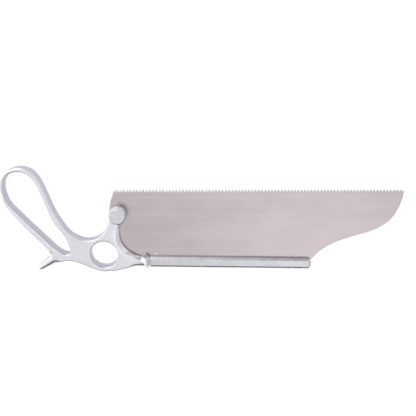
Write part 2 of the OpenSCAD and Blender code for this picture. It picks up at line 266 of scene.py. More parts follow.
@dataclass(frozen=True)
class Bench:
    """Where the saw's drawing lies in the frame."""

    x: float
    y: float

    @classmethod
    def from_stud(cls) -> "Bench":
        """Finds the drawing's place in the frame from the stud's."""
        low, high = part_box("thumb_stud")
        mid = (low + high) / 2 * MM
        return cls(mid.x - SCREW_AT[0], mid.y - SCREW_AT[1])

    def place(self, p: Row) -> Vector:
        """Turns a point of the drawing into metres of the frame."""
        return Vector(((p[0] + self.x) / MM, (p[1] + self.y) / MM, p[2] / MM))

    def mesh(self, name: str, verts: Sequence[Row], faces: Sequence[Sequence[int]]) -> Piece:
        """Makes an object from points of the drawing, its faces turned outwards.

        Args:
            name: the piece's name.
            verts: points in millimetres.
            faces: indices of each face's corners.

        Returns:
            The linked object.
        """
        data = bpy.data.meshes.new(name)
        v = (np.asarray(verts, float) + np.array([self.x, self.y, 0.0])) / MM
        data.from_pydata(v.tolist(), [], [list(map(int, f)) for f in faces])
        obj = linked(name, data)
        face_out(obj)
        return obj

    def prism(self, name: str, loop: np.ndarray, thick: float) -> Piece:
        """Makes a straight solid about the saw's middle height.

        Args:
            name: the object's name.
            loop: its closed outline.
            thick: its thickness.

        Returns:
            The linked object.
        """
        half = np.full(len(loop), thick / 2)
        return self.lofted(name, [np.column_stack([loop, z]) for z in (MID_Z - half, MID_Z + half)])

    def lofted(self, name: str, rings: Sequence[np.ndarray]) -> Piece:
        """Skins rings of equal length and closes both ends.

        Args:
            name: the object's name.
            rings: arrays of points with three coordinates each.

        Returns:
            The linked object.
        """
        n = len(rings[0])
        faces = [list(range(n))[::-1], [(len(rings) - 1) * n + i for i in range(n)]]
        for k in range(len(rings) - 1):
            a, b = k * n, (k + 1) * n
            faces += [[a + i, a + (i + 1) % n, b + (i + 1) % n, b + i] for i in range(n)]
        return self.mesh(name, np.vstack(rings), faces)

    def turned(
        self, name: str, centre: Row, rows: Sequence[Row], sides: int, radius: Optional[Turn] = None
    ) -> Piece:
        """Turns a profile about an upright axis.

        Args:
            name: the object's name.
            centre: the axis, as a point on the drawing.
            rows: the profile as pairs of radius and height; a zero radius closes an end, and a
                profile without one is a ring.
            sides: how many sides stand for the circle.
            radius: changes a radius from its value, its angle and its height.

        Returns:
            The linked object.
        """
        verts, faces, starts = [], [], []
        for r, z in rows:
            starts.append(len(verts))
            if r <= TINY:
                verts.append([centre[0], centre[1], z])
                continue
            for i in range(sides):
                a = 2 * math.pi * i / sides
                q = radius(r, a, z) if radius else r
                verts.append([centre[0] + q * math.cos(a), centre[1] + q * math.sin(a), z])
        ring = rows[0][0] > TINY and rows[-1][0] > TINY
        for k in range(len(rows) if ring else len(rows) - 1):
            m = (k + 1) % len(rows)
            a0, b0 = starts[k], starts[m]
            for i in range(sides):
                j = (i + 1) % sides
                if rows[k][0] <= TINY:
                    faces.append([a0, b0 + j, b0 + i])
                elif rows[m][0] <= TINY:
                    faces.append([a0 + i, a0 + j, b0])
                else:
                    faces.append([a0 + i, a0 + j, b0 + j, b0 + i])
        return self.mesh(name, verts, faces)


def linked(name: str, data: bpy.types.ID) -> Piece:
    """Makes an object of some data and links it to the scene."""
    obj = bpy.data.objects.new(name, data)
    bpy.context.scene.collection.objects.link(obj)
    return obj


def face_out(obj: Piece) -> None:
    """Merges doubled points, drops loose ones and turns every face outwards.

    Args:
        obj: the piece to clean.
    """
    bm = bmesh.new()
    bm.from_mesh(obj.data)
    bmesh.ops.remove_doubles(bm, verts=bm.verts, dist=MERGE)
    bmesh.ops.delete(bm, geom=[v for v in bm.verts if not v.link_faces], context="VERTS")
    bmesh.ops.recalc_face_normals(bm, faces=bm.faces)
    bm.to_mesh(obj.data)
    bm.free()


def cut_with(obj: Piece, cutters: Sequence[Piece]) -> None:
    """Cuts one object by others, keeps the result as its mesh and drops the cutters.

    Args:
        obj: the piece to cut.
        cutters: closed shapes that are taken out of it.
    """
    for cutter in cutters:
        mod = obj.modifiers.new("cut", "BOOLEAN")
        mod.operation, mod.solver, mod.object = "DIFFERENCE", "EXACT", cutter
    bpy.context.view_layer.update()
    data = bpy.data.meshes.new_from_object(obj.evaluated_get(bpy.context.evaluated_depsgraph_get()))
    obj.modifiers.clear()
    old, obj.data = obj.data, data
    bpy.data.meshes.remove(old)
    for cutter in cutters:
        bpy.data.objects.remove(cutter)


def shade(obj: Piece, crease: float) -> None:
    """Shades an object smoothly, apart from its sharp edges.

    Args:
        obj: the piece to shade.
        crease: angle above which an edge stays sharp, in degrees.
    """
    bm = bmesh.new()
    bm.from_mesh(obj.data)
    for f in bm.faces:
        f.smooth = True
    for e in bm.edges:
        e.smooth = len(e.link_faces) == 2 and e.calc_face_angle(0) < math.radians(crease)
    bm.to_mesh(obj.data)
    bm.free()


@dataclass
class Plate:
    """A closed solid between an upper and a lower height over a flat outline."""

    outline: np.ndarray
    holes: Sequence[np.ndarray]
    rims: Sequence[tuple]
    height: HeightMap
    rings: Row
    grid: float
    extra: Optional[np.ndarray] = None
    shift: Optional[HeightMap] = None
    ring_share: float = 0.93
    crowd_share: float = 0.4
    row_share: float = 0.866
    extra_clear: float = 0.3
    least_half: float = 0.03

    def covers(self, p: np.ndarray) -> np.ndarray:
        """Tells which points lie on the plate's material.

        Args:
            p: the points to test.

        Returns:
            True for each point inside the outline and outside every hole.
        """
        on = holds(self.outline, p)
        for hole in self.holes:
            on &= ~holds(hole, p)
        return on

    def clearance(self, p: np.ndarray) -> np.ndarray:
        """Returns each point's distance to the nearest edge of the outline or a hole."""
        return np.stack([distance(loop, p) for loop in (self.outline, *self.holes)]).min(0)

    def to_rims(self, p: np.ndarray) -> tuple:
        """Returns each point's distance to the nearest rounded rim, and which rim that is."""
        d = np.stack([distance(line, p, closed) for line, closed in self.rims])
        return d.min(0), d.argmin(0)

    def points(self) -> tuple:
        """Spreads points over the outline.

        Returns:
            The points, and the pairs of points that are joined.
        """
        loops = [self.outline, *self.holes]
        pts, edges = [], []
        for loop in loops:
            base = len(pts)
            pts += loop.tolist()
            edges += [(base + i, base + (i + 1) % len(loop)) for i in range(len(loop))]
        for d in self.rings:
            for loop in loops:
                step = float(np.hypot(*(loop[1] - loop[0])))
                p = loop + d * inward(loop)
                last = None
                for q in p[self.covers(p) & (self.clearance(p) > self.ring_share * d)]:
                    if last is None or np.hypot(*(q - last)) > self.crowd_share * step:
                        pts.append(q.tolist())
                        last = q
        low, high = self.outline.min(0), self.outline.max(0)
        xs = np.arange(low[0], high[0], self.grid)
        ys = np.arange(low[1], high[1], self.grid * self.row_share)
        g = np.array([[x + (self.grid / 2 if j % 2 else 0), y] for j, y in enumerate(ys) for x in xs])
        g = g[self.covers(g)]
        pts += g[self.clearance(g) > max(self.rings) + self.crowd_share * self.grid].tolist()
        if self.extra is not None:
            e = self.extra[self.covers(self.extra)]
            pts += e[self.clearance(e) > self.extra_clear].tolist()
        return pts, edges

    def build(self, bench: Bench, name: str) -> Piece:
        """Makes the solid.

        Args:
            bench: the drawing's place.
            name: the piece's name.

        Returns:
            The linked object.
        """
        pts, edges = self.points()
        verts, _, tris, *_ = delaunay_2d_cdt([Vector(p) for p in pts], edges, [], 0, 1e-5, False)
        xy = np.array([[v.x, v.y] for v in verts])
        tris = np.array([list(t) for t in tris if len(t) == 3])
        tris = tris[self.covers(xy[tris].mean(1))]
        a, b, c = xy[tris[:, 0]], xy[tris[:, 1]], xy[tris[:, 2]]
        area = (b - a)[:, 0] * (c - a)[:, 1] - (b - a)[:, 1] * (c - a)[:, 0]
        tris[area < 0] = tris[area < 0][:, ::-1]
        gap, rim = self.to_rims(xy)
        h = np.maximum(self.height(xy, gap, rim), self.least_half)
        mid = MID_Z + (self.shift(xy, gap, rim) if self.shift else 0.0)
        n = len(xy)
        faces = [t.tolist() for t in tris] + [[n + i for i in reversed(t.tolist())] for t in tris]
        sides = {(int(t[i]), int(t[(i + 1) % 3])) for t in tris for i in range(3)}
        faces += [[i, n + i, n + j, j] for i, j in sides if (j, i) not in sides]
        return bench.mesh(name, np.vstack([np.column_stack([xy, z]) for z in (mid + h, mid - h)]), faces)


class Wire:
    """A socket that takes part in Python sums."""

    def __init__(self, paint: "Paint", socket: bpy.types.NodeSocket) -> None:
        """Holds the socket and the paint whose tree it is in."""
        self.paint = paint
        self.socket = socket

    def sum(self, operation: str, *terms: object) -> "Wire":
        """Adds one Math node.

        Args:
            operation: the node's operation.
            terms: its values or wires in order.

        Returns:
            The node's value.
        """
        return self.paint.add("ShaderNodeMath", {"operation": operation}, dict(enumerate(terms)))

    def __add__(self, other: object) -> "Wire":
        """Adds."""
        return self.sum("ADD", self, other)

    __radd__ = __add__

    def __sub__(self, other: object) -> "Wire":
        """Subtracts other."""
        return self.sum("SUBTRACT", self, other)

    def __rsub__(self, other: object) -> "Wire":
        """Subtracts from other."""
        return self.sum("SUBTRACT", other, self)

    def __mul__(self, other: object) -> "Wire":
        """Multiplies."""
        return self.sum("MULTIPLY", self, other)

    __rmul__ = __mul__

    def __truediv__(self, other: object) -> "Wire":
        """Divides by other."""
        return self.sum("DIVIDE", self, other)

    def __rtruediv__(self, other: object) -> "Wire":
        """Divides other."""
        return self.sum("DIVIDE", other, self)

    def bend(self, low: float, high: float, start: float = 0.0, end: float = 1.0) -> "Wire":
        """Maps the value smoothly from one range to another, and holds it at both ends.

        Args:
            low: value that gives start.
            high: value that gives end.
            start: result at low.
            end: result at high.

        Returns:
            The mapped value.
        """
        span = {"From Min": low, "From Max": high, "To Min": start, "To Max": end}
        smooth = {"interpolation_type": "SMOOTHSTEP"}
        return self.paint.add("ShaderNodeMapRange", smooth, {"Value": self, **span})

    def within(self, rise: Row, fall: Row) -> "Wire":
        """Rises from 0 to 1 over one span and falls back to 0 over another."""
        return self.bend(*rise) * self.bend(*fall, 1.0, 0.0)


class Paint:
    """A node tree that is written in Python."""

    def __init__(self, owner: bpy.types.ID) -> None:
        """Opens the tree of a material or a world and clears it."""
        owner.use_nodes = True
        self.tree = owner.node_tree
        self.tree.nodes.clear()

    def add(self, kind: str, settings: dict, inputs: dict, output: object = 0) -> Wire:
        """Adds a node.

        Args:
            kind: the node's type.
            settings: its properties, set first.
            inputs: values or wires by socket name or number.
            output: the socket to return, by name or number.

        Returns:
            A wire from that output.
        """
        node = self.tree.nodes.new(kind)
        for key, value in settings.items():
            setattr(node, key, value)
        for key, value in inputs.items():
            if isinstance(value, Wire):
                self.tree.links.new(value.socket, node.inputs[key])
            else:
                node.inputs[key].default_value = value
        return Wire(self, node.outputs[output] if len(node.outputs) else None)

    def parts(self, way: Wire) -> tuple:
        """Returns the three numbers of a vector."""
        split = self.add("ShaderNodeSeparateXYZ", {}, {0: way}).socket.node
        return tuple(Wire(self, split.outputs[k]) for k in range(3))

    def where(self) -> Wire:
        """Returns the piece's own coordinates, in metres."""
        return self.add("ShaderNodeTexCoord", {}, {}, "Object")

    def scaled(self, place: Wire, scale: Row) -> Wire:
        """Scales coordinates by a factor for each axis."""
        return self.add("ShaderNodeVectorMath", {"operation": "MULTIPLY"}, {0: place, 1: scale})

    def cloud(self, place: Wire, scale: float, detail: float = 3.0) -> Wire:
        """Returns soft noise of about 0 to 1."""
        return self.add("ShaderNodeTexNoise", {}, {"Vector": place, "Scale": scale, "Detail": detail})

    def mixed(self, share: Wire, a: object, b: object) -> Wire:
        """Mixes two colours, or wires of colours, by a share."""
        tones = {k: v if isinstance(v, Wire) else (*v, 1.0) for k, v in ((6, a), (7, b))}
        return self.add("ShaderNodeMix", {"data_type": "RGBA"}, {0: share, **tones}, 2)

    def bump(self, height: Wire, depth: float, **under: Wire) -> Wire:
        """Turns a height of 0 to 1 into a normal, over another Normal if one is given; depth is in metres."""
        return self.add("ShaderNodeBump", {}, {"Height": height, "Distance": depth, "Strength": 1.0, **under})


@dataclass(frozen=True)
class Metal:
    """A bare metal finish; its tones are linear colours, mixed by two clouds."""

    name: str
    dark: tuple
    light: tuple
    rough: float
    share: float
    span: tuple

    def surface(self, paint: Paint) -> tuple:
        """Paints the finish.

        Args:
            paint: the material's tree.

        Returns:
            The wires of colour, roughness and normal.
        """
        raise NotImplementedError

    def tone(self, paint: Paint, a: Wire, b: Wire) -> Wire:
        """Returns the colour that two clouds give, of which the first has its share."""
        return paint.mixed((a * self.share + b * (1 - self.share)).bend(*self.span), self.dark, self.light)

    def uneven(self, fine: Wire, by_fine: float, broad: Wire, by_broad: float) -> Wire:
        """Returns the roughness, which two clouds change by at most half of these amounts."""
        return self.rough + (fine - 0.5) * by_fine + (broad - 0.5) * by_broad

    def made(self) -> bpy.types.Material:
        """Returns the finish as a material."""
        material = bpy.data.materials.new(self.name)
        paint = Paint(material)
        names = ("Base Color", "Roughness", "Normal")
        inputs = {"Metallic": 1.0, **dict(zip(names, self.surface(paint)))}
        steel = paint.add("ShaderNodeBsdfPrincipled", {}, inputs)
        paint.add("ShaderNodeOutputMaterial", {}, {"Surface": steel})
        return material


@dataclass(frozen=True)
class SatinCasting(Metal):
    """Steel that is cast, ground and tumbled to a soft satin, rougher on its side walls, which also carry
    painted shade: a darker colour for the shade they show.
    """

    name: str = "satin_casting"
    dark: tuple = (0.80, 0.795, 0.835)
    light: tuple = (0.87, 0.865, 0.905)
    rough: float = 0.27
    share: float = 0.55
    span: tuple = (0.36, 0.64)
    # painted shade: the side walls' darker colour stands in for the shaded floor that they reflect
    side: tuple = (0.49, 0.48, 0.55)
    side_rough: float = 0.10
    wall_shade_lean: tuple = (0.15, 0.72)
    grain_depth: float = 0.0000004
    swell_depth: float = 0.00006

    def surface(self, paint: Paint) -> tuple:
        """Returns the wires of colour, roughness and normal."""
        place = paint.where()
        swell = paint.cloud(place, 70.0, 2.0)
        smear = paint.cloud(place, 420.0, 4.0)
        grain = paint.cloud(place, 2600.0, 2.0)
        lean = paint.parts(paint.add("ShaderNodeTexCoord", {}, {}, "Normal"))[2]
        # painted shade: faces whose normals lie near flat take the darker side colour, and more roughness
        side = lean.sum("ABSOLUTE", lean).bend(*self.wall_shade_lean, 1.0, 0.0)
        tone = paint.mixed(side, self.tone(paint, swell, smear), self.side)
        rough = self.uneven(grain, 0.04, smear, 0.16) + side * self.side_rough
        return tone, rough, paint.bump(swell, self.swell_depth, Normal=paint.bump(grain, self.grain_depth))


@dataclass(frozen=True)
class DrawnBar(Metal):
    """Steel bar that is ground along its length."""

    name: str = "ground_bar"
    dark: tuple = (0.625, 0.62, 0.65)
    light: tuple = (0.705, 0.70, 0.73)
    rough: float = 0.27
    share: float = 0.4
    span: tuple = (0.36, 0.64)
    line_depth: float = 0.0000003

    def surface(self, paint: Paint) -> tuple:
        """Returns the wires of colour, roughness and normal."""
        place = paint.where()
        lines = paint.cloud(paint.scaled(place, (60.0, 2400.0, 2400.0)), 1.0, 3.0)
        smear = paint.cloud(place, 160.0, 3.0)
        rough = self.uneven(lines, 0.06, smear, 0.10)
        return self.tone(paint, lines, smear), rough, paint.bump(lines, self.line_depth)


@dataclass(frozen=True)
class BrushedSheet(Metal):
    """Hardened sheet that is brushed along the teeth and has gone faintly warm."""

    name: str = "brushed_sheet"
    dark: tuple = (0.565, 0.50, 0.502)
    light: tuple = (0.63, 0.56, 0.56)
    rough: float = 0.25
    share: float = 0.5
    span: tuple = (0.32, 0.68)
    hair_depth: float = 0.0000006

    def surface(self, paint: Paint) -> tuple:
        """Returns the wires of colour, roughness and normal."""
        place = paint.where()
        hair = paint.cloud(paint.scaled(place, (45.0, 3600.0, 400.0)), 1.0, 3.0)
        streak = paint.cloud(paint.scaled(place, (9.0, 260.0, 60.0)), 1.0, 4.0)
        stain = paint.cloud(paint.scaled(place, (26.0, 44.0, 30.0)), 1.0, 2.0)
        rough = self.uneven(hair, 0.08, streak, 0.10)
        return self.tone(paint, streak, stain), rough, paint.bump(hair, self.hair_depth)


@dataclass(frozen=True)
class TurnedSteel(Metal):
    """Steel from the lathe, with fine rings about the screw's axis."""

    name: str = "turned_steel"
    dark: tuple = (0.665, 0.665, 0.69)
    light: tuple = (0.77, 0.77, 0.80)
    rough: float = 0.28
    share: float = 0.35
    span: tuple = (0.34, 0.66)
    ring_depth: float = 0.0000008
    axis: tuple = (0.0, 0.0)

    def surface(self, paint: Paint) -> tuple:
        """Returns the wires of colour, roughness and normal."""
        place = paint.where()
        off = paint.add("ShaderNodeVectorMath", {"operation": "SUBTRACT"}, {0: place, 1: (*self.axis, 0.0)})
        flat = paint.scaled(off, (1.0, 1.0, 0.0))
        reach = paint.add("ShaderNodeVectorMath", {"operation": "LENGTH"}, {0: flat}, "Value")
        along = paint.add("ShaderNodeCombineXYZ", {}, {0: reach})
        rings = paint.cloud(paint.scaled(along, (5200.0, 1.0, 1.0)), 1.0, 2.0)
        smear = paint.cloud(place, 380.0, 3.0)
        rough = self.uneven(rings, 0.08, smear, 0.10)
        return self.tone(paint, rings, smear), rough, paint.bump(rings, self.ring_depth)


@dataclass
class Assembly:
    """Something that is built on the bench, dressed and hung on a body."""

    bench: Bench
    finish: bpy.types.Material

    def seat(
        self, obj: Piece, body: Body, slot: Slot, nodes: Sequence[str] = (), crease: float = 32.0
    ) -> None:
        """Shades a piece, dresses it and hangs it on its body.

        Args:
            obj: the piece.
            body: what it moves with.
            slot: the record's slot of its finish; not used.
            nodes: the frame's nodes that it stands for.
            crease: angle above which an edge stays sharp, in degrees.
        """
        shade(obj, crease)
        obj.data.materials.clear()
        obj.data.materials.append(self.finish)
        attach(obj, body.value)
        if nodes:
            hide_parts(*nodes)
        log.info("%s: %d faces on %s", obj.name, len(obj.data.polygons), body.value)


@dataclass
class GripCasting(Assembly):
    """The looped grip with its spur, ring, forked arm, neck and flared collar."""

    BORE = 3  # the bore's place among the rims

    thick: float = 10.0
    edge_r: float = 1.4
    loop_edge_r: float = 1.5
    bore_edge_r: float = 0.25
    strap_w: float = 4.0
    grip_l: float = 55.3
    grip_rise: float = 81.5
    throat_back: float = 62.0
    ring_d: float = 23.0
    ring_wall: float = 4.1
    ring_c: tuple = (-35.6, 7.2)
    saddle_c: tuple = (-49.0, 37.1)
    saddle_r: float = 17.4
    cheek_r: float = 20.6
    cheek_edge: float = 0.45
    slope_w: float = 5.0
    slope_h: float = 2.2
    slope_shift: float = 2.5
    slope_round: float = 0.22
    slope_blend: float = 0.5
    slope_least: float = 1.2
    flare_len: float = 4.6
    collar_r: float = 7.6
    collar_face: float = 3.4
    boss_r: float = 7.3
    bore_r: float = 2.62
    spur_angle: float = 214.6
    spur_len: float = 15.0
    spur_root_r: float = 4.5
    spur_tip_r: float = 2.7
    tuck_r: float = 24.3
    fork_ear: float = 33.1
    fork_floor: float = 3.0
    tongue_x: float = 2.3
    gap: float = 0.8

    # Spans over which one part of the casting's relief takes over from another.
    loop_from: tuple = (-72.0, -60.0)
    arc_off: tuple = (1.5, 4.5)
    arc_low: tuple = (4.2, 9.6)
    arc_high: tuple = (29.0, 33.0)
    neck_from: tuple = (-17.0, -8.8)
    neck_top: tuple = (8.0, 13.0)
    slope_low: tuple = (1.0, 10.5)
    spur_from: tuple = (-4.0, 2.5)
    spur_off: tuple = (5.0, 8.0)

    def strap_line(self) -> np.ndarray:
        """Returns the middle line of the loop's strap with its width."""
        shares = [
            [-0.070, 0.215, 1.50], [0.058, 0.297, 1.20], [0.195, 0.432, 1.20], [0.264, 0.526, 1.12],
            [0.313, 0.619, 1.03], [0.358, 0.707, 0.98], [0.409, 0.802, 0.97], [0.473, 0.892, 0.99],
            [0.558, 0.953, 1.00], [0.682, 0.982, 0.93], [0.778, 0.975, 0.83], [0.861, 0.951, 0.74],
            [0.922, 0.910, 0.70], [0.960, 0.859, 0.69], [0.975, 0.804, 0.69], [0.967, 0.736, 0.70],
            [0.929, 0.640, 0.80], [0.864, 0.571, 0.92], [0.779, 0.502, 1.05], [0.676, 0.418, 1.16],
            [0.552, 0.326, 1.24], [0.448, 0.250, 1.26], [0.371, 0.190, 1.32], [0.325, 0.150, 1.44],
        ]
        return np.array([[*self.by_grip(s), s[2] * self.strap_w] for s in shares])

    def by_grip(self, s: Row) -> list:
        """Returns the place of a pair of shares of the loop's length and height."""
        return [-self.throat_back - s[0] * self.grip_l, s[1] * self.grip_rise]

    def by_ring(self, s: Row) -> list:
        """Returns the place of a pair of shares of the ring's outer radius."""
        r = self.ring_d / 2 + self.ring_wall
        return [self.ring_c[0] + r * s[0], self.ring_c[1] + r * s[1]]

    def strap_side(self, side: float) -> list:
        """Follows one side of the strap.

        Args:
            side: 1 outside the loop, -1 inside it.

        Returns:
            The points of that side.
        """
        line = self.strap_line()
        out = []
        for i in range(1, len(line) - 1):
            t = (line[i + 1] - line[i - 1])[:2]
            out.append((line[i, :2] + side * line[i, 2] / 2 * across(t) / np.hypot(*t)).tolist())
        return out

    def spur_axis(self) -> tuple:
        """Returns the spur's root and the direction in which it points."""
        return np.array(self.by_grip([0.284, 0.035])), heading(self.spur_angle)

    def spur_side(self, side: float, at: Row) -> list:
        """Finds points on one flank of the spur.

        Args:
            side: 1 for the flank towards the loop, -1 for the other.
            at: distances from the spur's root.

        Returns:
            The points, in the order of their distances.
        """
        root, d = self.spur_axis()
        n = across(d) * side
        taper = (self.spur_tip_r - self.spur_root_r) / self.spur_len
        return [(root + t * d + (self.spur_root_r + taper * t) * n).tolist() for t in at]

    def rim_line(self) -> np.ndarray:
        """Returns the casting's edge from the top of the neck round to its bottom."""
        belly = [[-2.397, -0.480], [-1.981, -0.370], [-1.590, -0.430], [-1.154, -0.600], [-0.718, -0.795]]
        bilge = [[0.635, -0.950], [1.090, -0.830]]
        root, d = self.spur_axis()
        tip = root + self.spur_len * d
        points = (
            [[-self.flare_len, NECK_R]]
            + arc_points(CHEEK_AT, self.cheek_r, 256, 158, 7)
            + arc_points(SCREW_AT, self.boss_r, -20, 196, 7)
            + arc_points(self.saddle_c, self.saddle_r, -20, -118, 5)
            + self.strap_side(1)
            + [self.by_grip(s) for s in ([0.362, 0.129], [0.349, 0.091])]
            + self.spur_side(1, (2.4, 6.0, 10.5, 15.0))
            + arc_points(tip, self.spur_tip_r, self.spur_angle - 60, self.spur_angle + 60, 4)
            + self.spur_side(-1, (15.0, 10.5, 6.5, 3.6))
            + [[-76.2, -1.75]]
            + [self.by_ring(s) for s in belly]
            + arc_points(self.ring_c, self.ring_d / 2 + self.ring_wall, 250, 284, 2)
            + [self.by_ring(s) for s in bilge]
            + [[-13.2, -4.94], [-9.2, -NECK_R], [-self.flare_len, -NECK_R]]
        )
        return even_steps(smooth_curve(points, False), self.gap, False)

    def loop_opening(self) -> np.ndarray:
        """Returns the edge of the loop's opening."""
        throat = [[0.246, 0.150], [0.150, 0.102], [0.075, 0.090], [0.028, 0.118], [0.050, 0.190]]
        points = self.strap_side(-1) + [self.by_grip(s) for s in throat]
        return even_steps(smooth_curve(points, True), self.gap, True)

    def half_thickness(self, p: np.ndarray, gap: np.ndarray, rim: np.ndarray) -> np.ndarray:
        """Returns half the casting's thickness at each point.

        Args:
            p: points on the casting.
            gap: their distance to the nearest rim.
            rim: which rim that is.

        Returns:
            The half thickness in millimetres.
        """
        x, y = p.T
        r = self.edge_r + (self.loop_edge_r - self.edge_r) * (1 - ramp(*self.loop_from, x))
        off_arc = np.abs(np.hypot(x - CHEEK_AT[0], y - CHEEK_AT[1]) - self.cheek_r)
        by_arc = (1 - ramp(*self.arc_off, off_arc)) * ramp(*self.arc_low, y) * (1 - ramp(*self.arc_high, y))
        r += (self.cheek_edge - r) * by_arc * (rim == 0)
        r = np.where(rim == self.BORE, self.bore_edge_r, r)
        r += (NECK_R - r) * ramp(*self.neck_from, x) * (1 - ramp(*self.neck_top, y)) * (1 - by_arc)
        h = self.thick / 2 - rounded(gap, r)
        grade = self.slope_h / self.slope_w
        reach = self.cheek_r - self.slope_shift * math.sqrt(2) + self.slope_w
        q = np.hypot(x - CHEEK_AT[0] + self.slope_shift, y - CHEEK_AT[1] + self.slope_shift)
        fall = np.logaddexp(0, (reach - q) * grade / self.slope_round) * self.slope_round
        fall *= ramp(*self.slope_low, y)
        h = soft_min(h, np.maximum(self.thick / 2 - fall, self.slope_least), self.slope_blend)
        root, d = self.spur_axis()
        t, s = (p - root) @ d, (p - root) @ across(d)
        cone = self.spur_root_r + (self.spur_tip_r - self.spur_root_r) * np.clip(t / self.spur_len, 0, 1)
        horn = cone - rounded(gap, cone)
        return h + (horn - h) * ramp(*self.spur_from, t) * (1 - ramp(*self.spur_off, np.abs(s)))

    def fork(self, name: str) -> Piece:
        """Makes the cutter that lets the blade into the arm, the cheek and the collar.

        Args:
            name: the cutter's name.

        Returns:
            The linked cutter.
        """
        left, right, top, ear, floor = -49.0, 20.0, 90.0, self.fork_ear, self.fork_floor
        loop = [[left, ear], *left_arc(CHEEK_AT, self.tuck_r, ear, floor), [self.tongue_x, floor]]
        loop += [[self.tongue_x, 0.17], [right, -0.04], [right, top], [left, top]]
        return self.bench.prism(name, np.array(loop), SLOT_W)

    def collar(self) -> Piece:
        """Returns the flared collar, turned about the saw's axis and flattened where it rests."""
        rise = self.collar_r - NECK_R
        shares = ((-1.0, 0.0), (-0.62, 0.10), (-0.28, 0.42), (-0.07, 0.92))
        bell = [[u * self.flare_len, NECK_R + v * rise] for u, v in shares]
        root = [[-5.4, NECK_R - 0.04], [-4.9, NECK_R - 0.01]]
        crest = [[-0.12, self.collar_r - 0.06], [0.02, self.collar_r], [0.16, self.collar_r - 0.08]]
        face = [[self.collar_face * k / 6, self.collar_r - rise * k / 6] for k in range(1, 7)]
        rings = []
        for x, r in root + smooth_curve(bell, False, 8).tolist() + crest + face:
            foot = min(r, self.thick / 2)
            side = math.sqrt(max(r * r - foot * foot, 0.0))
            turn = math.asin(min(foot / r, 1.0))
            section = [[r * math.cos(a), r * math.sin(a)] for a in np.linspace(-turn, math.pi + turn, 73)]
            section += [[side * (2 * k / 9 - 1), -foot] for k in range(1, 9)]
            rings.append(np.array([[x, u, self.thick / 2 + v] for u, v in section]))
        return self.bench.lofted("collar_flare", rings)

    def build(self) -> None:
        """Builds the casting and its collar, slots both and hangs them on the casting's body."""
        rim = self.rim_line()
        wall = divide(np.array([rim[-1], rim[0]]), self.gap)[1:-1]
        opening = self.loop_opening()[::-1]
        ring = np.array(arc_points(self.ring_c, self.ring_d / 2, 360, 0, 96)[:-1])
        bore = np.array(arc_points(SCREW_AT, self.bore_r, 360, 0, 40)[:-1])
        holes = [opening, ring, bore]
        edge = np.vstack([[6.0, NECK_R], rim, [6.0, -NECK_R]])
        root, d = self.spur_axis()
        along = lattice((-3, 17, 0.6), (-3.6, 3.7, 0.6))
        horn = np.array([root + t * d + s * across(d) for t, s in along])
        plate = Plate(
            outline=np.vstack([rim, wall]),
            holes=holes,
            rims=[(edge, False), *((hole, True) for hole in holes)],
            height=self.half_thickness,
            rings=[0.012, 0.05, 0.11, 0.19, 0.29, 0.41, 0.55, 0.7, 0.87, 1.04, 1.22, 1.4, 1.9, 2.5],
            grid=1.0,
            extra=np.vstack([lattice((-19, -4.8, 0.55), (-5.5, 9.0, 0.5)), horn]),
        )
        body = plate.build(self.bench, "cast_grip")
        cut_with(body, [self.fork("fork_cut")])
        self.seat(body, Body.CASTING, Slot.CASTING, ["handle_frame"], 40.0)
        collar = self.collar()
        cut_with(collar, [self.fork("tongue_cut")])
        self.seat(collar, Body.CASTING, Slot.CASTING)


@dataclass
class SpineBar(Assembly):
    """The grooved bar along the back of the blade."""

    root_x: float = 2.0
    length: float = 139.0
    high: float = 10.0
    thick: float = 8.8
    edge_r: float = 3.0
    tip_r: float = 3.8
    tip_edge_r: float = 2.8
    stations: tuple = (20.0, 60.0, 100.0, 128.0)
    tip_steps: tuple = (5.0, 3.8, 3.2, 2.6, 2.0, 1.5, 1.05, 0.7, 0.42, 0.22, 0.09, 0.02)
    groove_floor: float = -0.1
    groove_start: float = 2.3

    def section(self, x: float) -> np.ndarray:
        """Draws the bar's outline at a distance along it.

        Args:
            x: the distance along the bar.

        Returns:
            The ring of points, smaller within the rounded tip.
        """
        left = self.length - x
        sides = ((self.high, self.tip_r), (self.thick, self.tip_edge_r))
        y, z = (w / 2 - r + math.sqrt(max(r**2 - max(r - left, 0) ** 2, 0)) for w, r in sides)
        r = min(self.edge_r, 0.97 * y, 0.97 * z)
        corners = [[sy * (y - r), sz * (z - r)] for sy, sz in ((1, 1), (-1, 1), (-1, -1), (1, -1))]
        arcs = [arc_points(c, r, 90 * k, 90 * k + 90, 12) for k, c in enumerate(corners)]
        ring = []
        for arc, after in zip(arcs, arcs[1:] + arcs[:1]):
            a, b = np.array(arc[-1]), np.array(after[0])
            ring += arc + [a + (b - a) * share for share in (0.06, 0.94)]
        return np.array([[x, p[0], MID_Z + p[1]] for p in ring])

    def sloped(self, p: np.ndarray) -> np.ndarray:
        """Turns points about the saw's origin by the bar's slope.

        Args:
            p: points whose first two coordinates lie along and across the saw.

        Returns:
            The turned points.
        """
        c, s = heading(SLOPE)
        q = p.copy()
        q[:, 0], q[:, 1] = c * p[:, 0] + s * p[:, 1], c * p[:, 1] - s * p[:, 0]
        return q

    def build(self) -> None:
        """Builds the bar, cuts its groove and hangs it on the casting's body."""
        at = [self.root_x, *self.stations, *(self.length - u for u in self.tip_steps)]
        bar = self.bench.lofted("spine_bar", [self.sloped(self.section(x)) for x in at])
        start, end, low, high = self.groove_start, self.length + 5, self.groove_floor, self.high
        loop = self.sloped(np.array([[start, low], [end, low], [end, high], [start, high]]))
        cut_with(bar, [self.bench.prism("groove_cut", loop, SLOT_W)])
        self.seat(bar, Body.CASTING, Slot.SPINE, ["spine_rib"])


